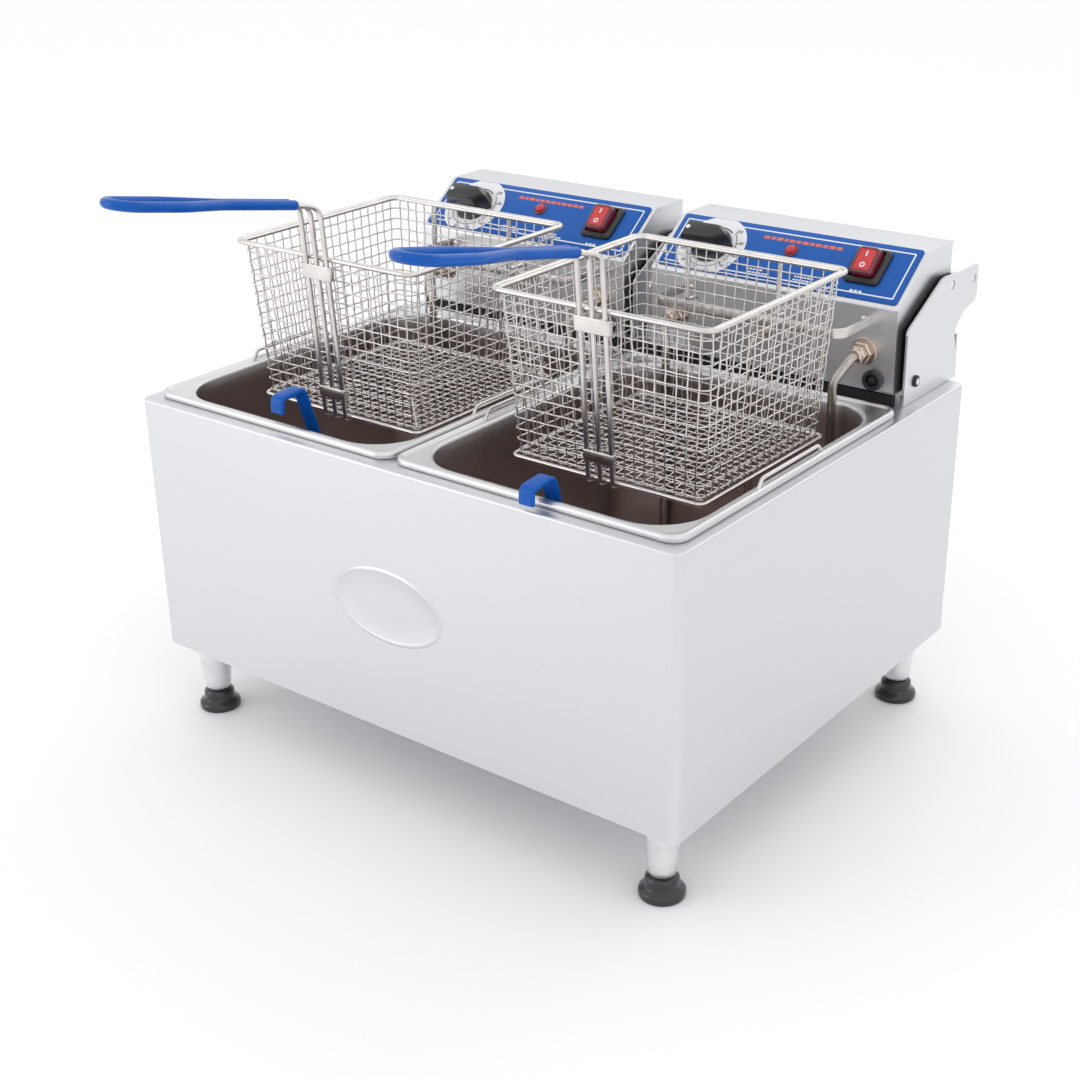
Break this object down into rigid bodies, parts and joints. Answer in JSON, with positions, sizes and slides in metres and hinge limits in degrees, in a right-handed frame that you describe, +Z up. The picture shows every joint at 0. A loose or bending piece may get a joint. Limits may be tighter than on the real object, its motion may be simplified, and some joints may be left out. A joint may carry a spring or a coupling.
{
  "type": "deep fryer",
  "caption": "Twin-tank electric countertop deep fryer: box cabinet on four legs, lift-out wire baskets, swing-up control heads with elements.",
  "frame": {"origin": "middle of the whole outline seen from above, on the surface that the feet stand on", "axes": "+X to the right seen from the front, +Y from the basket grips to the back, +Z up"},
  "size_m": [0.58, 0.6325, 0.5401],
  "materials": {
    "cabinet_steel": "satin brushed stainless steel",
    "tank_steel": "drawn stainless steel, polished",
    "head_steel": "satin stainless steel",
    "wire_chrome": "bright nickel-plated wire",
    "leg_metal": "bright turned metal",
    "element_steel": "heat-tinted stainless steel tube",
    "blue_vinyl": "dipped blue vinyl",
    "label_blue": "printed overlay",
    "black_plastic": "moulded black plastic",
    "black_rubber": "rubber",
    "red_lens": "translucent red plastic",
    "ceramic_block": "moulded insulator"
  },
  "bodies": {
    "root": {"cabinet_shell": "cabinet_steel", "cabinet_floor": "cabinet_steel", "front_left_leg": "leg_metal", "front_left_foot": "black_plastic", "rear_left_leg": "leg_metal", "rear_left_foot": "black_plastic", "front_right_leg": "leg_metal", "front_right_foot": "black_plastic", "rear_right_leg": "leg_metal", "rear_right_foot": "black_plastic", "left_tank": "tank_steel", "left_outer_hinge_plate": "head_steel", "left_inner_hinge_plate": "head_steel", "right_tank": "tank_steel", "right_outer_hinge_plate": "head_steel", "right_inner_hinge_plate": "head_steel", "pivot_rod": "leg_metal", "swing_stop_rod": "leg_metal", "rest_strip": "black_rubber"},
    "left_head": {"left_head_housing": "head_steel", "left_back_cover": "head_steel", "left_cord_gland": "black_plastic", "left_terminal_block": "ceramic_block", "left_hanger_bar": "wire_chrome", "left_heating_element": "element_steel", "left_thermostat_probe": "wire_chrome", "left_faceplate": "label_blue", "left_thermostat_body": "ceramic_block", "left_indicator_lamp": "red_lens", "left_switch_body": "black_plastic", "left_high_limit_body": "black_plastic"},
    "left_knob": {"left_thermostat_knob": "black_plastic"},
    "left_rocker": {"left_rocker": "red_lens"},
    "left_reset": {"left_reset_button": "black_plastic"},
    "left_guard": {"left_element_guard": "tank_steel", "left_guard_grip": "blue_vinyl"},
    "left_basket": {"left_basket_mesh": "wire_chrome", "left_basket_frame": "wire_chrome", "left_basket_grip": "blue_vinyl"},
    "right_head": {"right_head_housing": "head_steel", "right_back_cover": "head_steel", "right_cord_gland": "black_plastic", "right_terminal_block": "ceramic_block", "right_hanger_bar": "wire_chrome", "right_heating_element": "element_steel", "right_thermostat_probe": "wire_chrome", "right_faceplate": "label_blue", "right_thermostat_body": "ceramic_block", "right_indicator_lamp": "red_lens", "right_switch_body": "black_plastic", "right_high_limit_body": "black_plastic"},
    "right_knob": {"right_thermostat_knob": "black_plastic"},
    "right_rocker": {"right_rocker": "red_lens"},
    "right_reset": {"right_reset_button": "black_plastic"},
    "right_guard": {"right_element_guard": "tank_steel", "right_guard_grip": "blue_vinyl"},
    "right_basket": {"right_basket_mesh": "wire_chrome", "right_basket_frame": "wire_chrome", "right_basket_grip": "blue_vinyl"}
  },
  "joints": [
    {"name": "left_head_swing", "type": "hinge", "parent": "root", "child": "left_head", "pos_m": [-0.1415, 0.2638, 0.4072], "axis": [-1, 0, 0], "range_deg": [0, 90]},
    {"name": "left_knob_turn", "type": "hinge", "parent": "left_head", "child": "left_knob", "pos_m": [-0.219, 0.20277, 0.42414], "axis": [0, 0.6012, -0.7991], "range_deg": [0, 270]},
    {"name": "left_rocker_tilt", "type": "hinge", "parent": "left_head", "child": "left_rocker", "pos_m": [-0.061, 0.20396, 0.43004], "axis": [-1, 0, 0], "range_deg": [0, 14]},
    {"name": "left_reset_press", "type": "slide", "parent": "left_head", "child": "left_reset", "axis": [0, 1, 0], "range_m": [0, 0.002], "stiffness_N_per_m": 500},
    {"name": "left_guard_lift", "type": "slide", "parent": "left_head", "child": "left_guard", "axis": [0, 0, 1], "range_m": [0, 0.08]},
    {"name": "left_basket_lift", "type": "slide", "parent": "left_head", "child": "left_basket", "axis": [0, 0, 1], "range_m": [0, 0.25]},
    {"name": "right_head_swing", "type": "hinge", "parent": "root", "child": "right_head", "pos_m": [0.1415, 0.2638, 0.4072], "axis": [-1, 0, 0], "range_deg": [0, 90]},
    {"name": "right_knob_turn", "type": "hinge", "parent": "right_head", "child": "right_knob", "pos_m": [0.064, 0.20277, 0.42414], "axis": [0, 0.6012, -0.7991], "range_deg": [0, 270]},
    {"name": "right_rocker_tilt", "type": "hinge", "parent": "right_head", "child": "right_rocker", "pos_m": [0.222, 0.20396, 0.43004], "axis": [-1, 0, 0], "range_deg": [0, 14]},
    {"name": "right_reset_press", "type": "slide", "parent": "right_head", "child": "right_reset", "axis": [0, 1, 0], "range_m": [0, 0.002], "stiffness_N_per_m": 500},
    {"name": "right_guard_lift", "type": "slide", "parent": "right_head", "child": "right_guard", "axis": [0, 0, 1], "range_m": [0, 0.08]},
    {"name": "right_basket_lift", "type": "slide", "parent": "right_head", "child": "right_basket", "axis": [0, 0, 1], "range_m": [0, 0.25]}
  ]
}
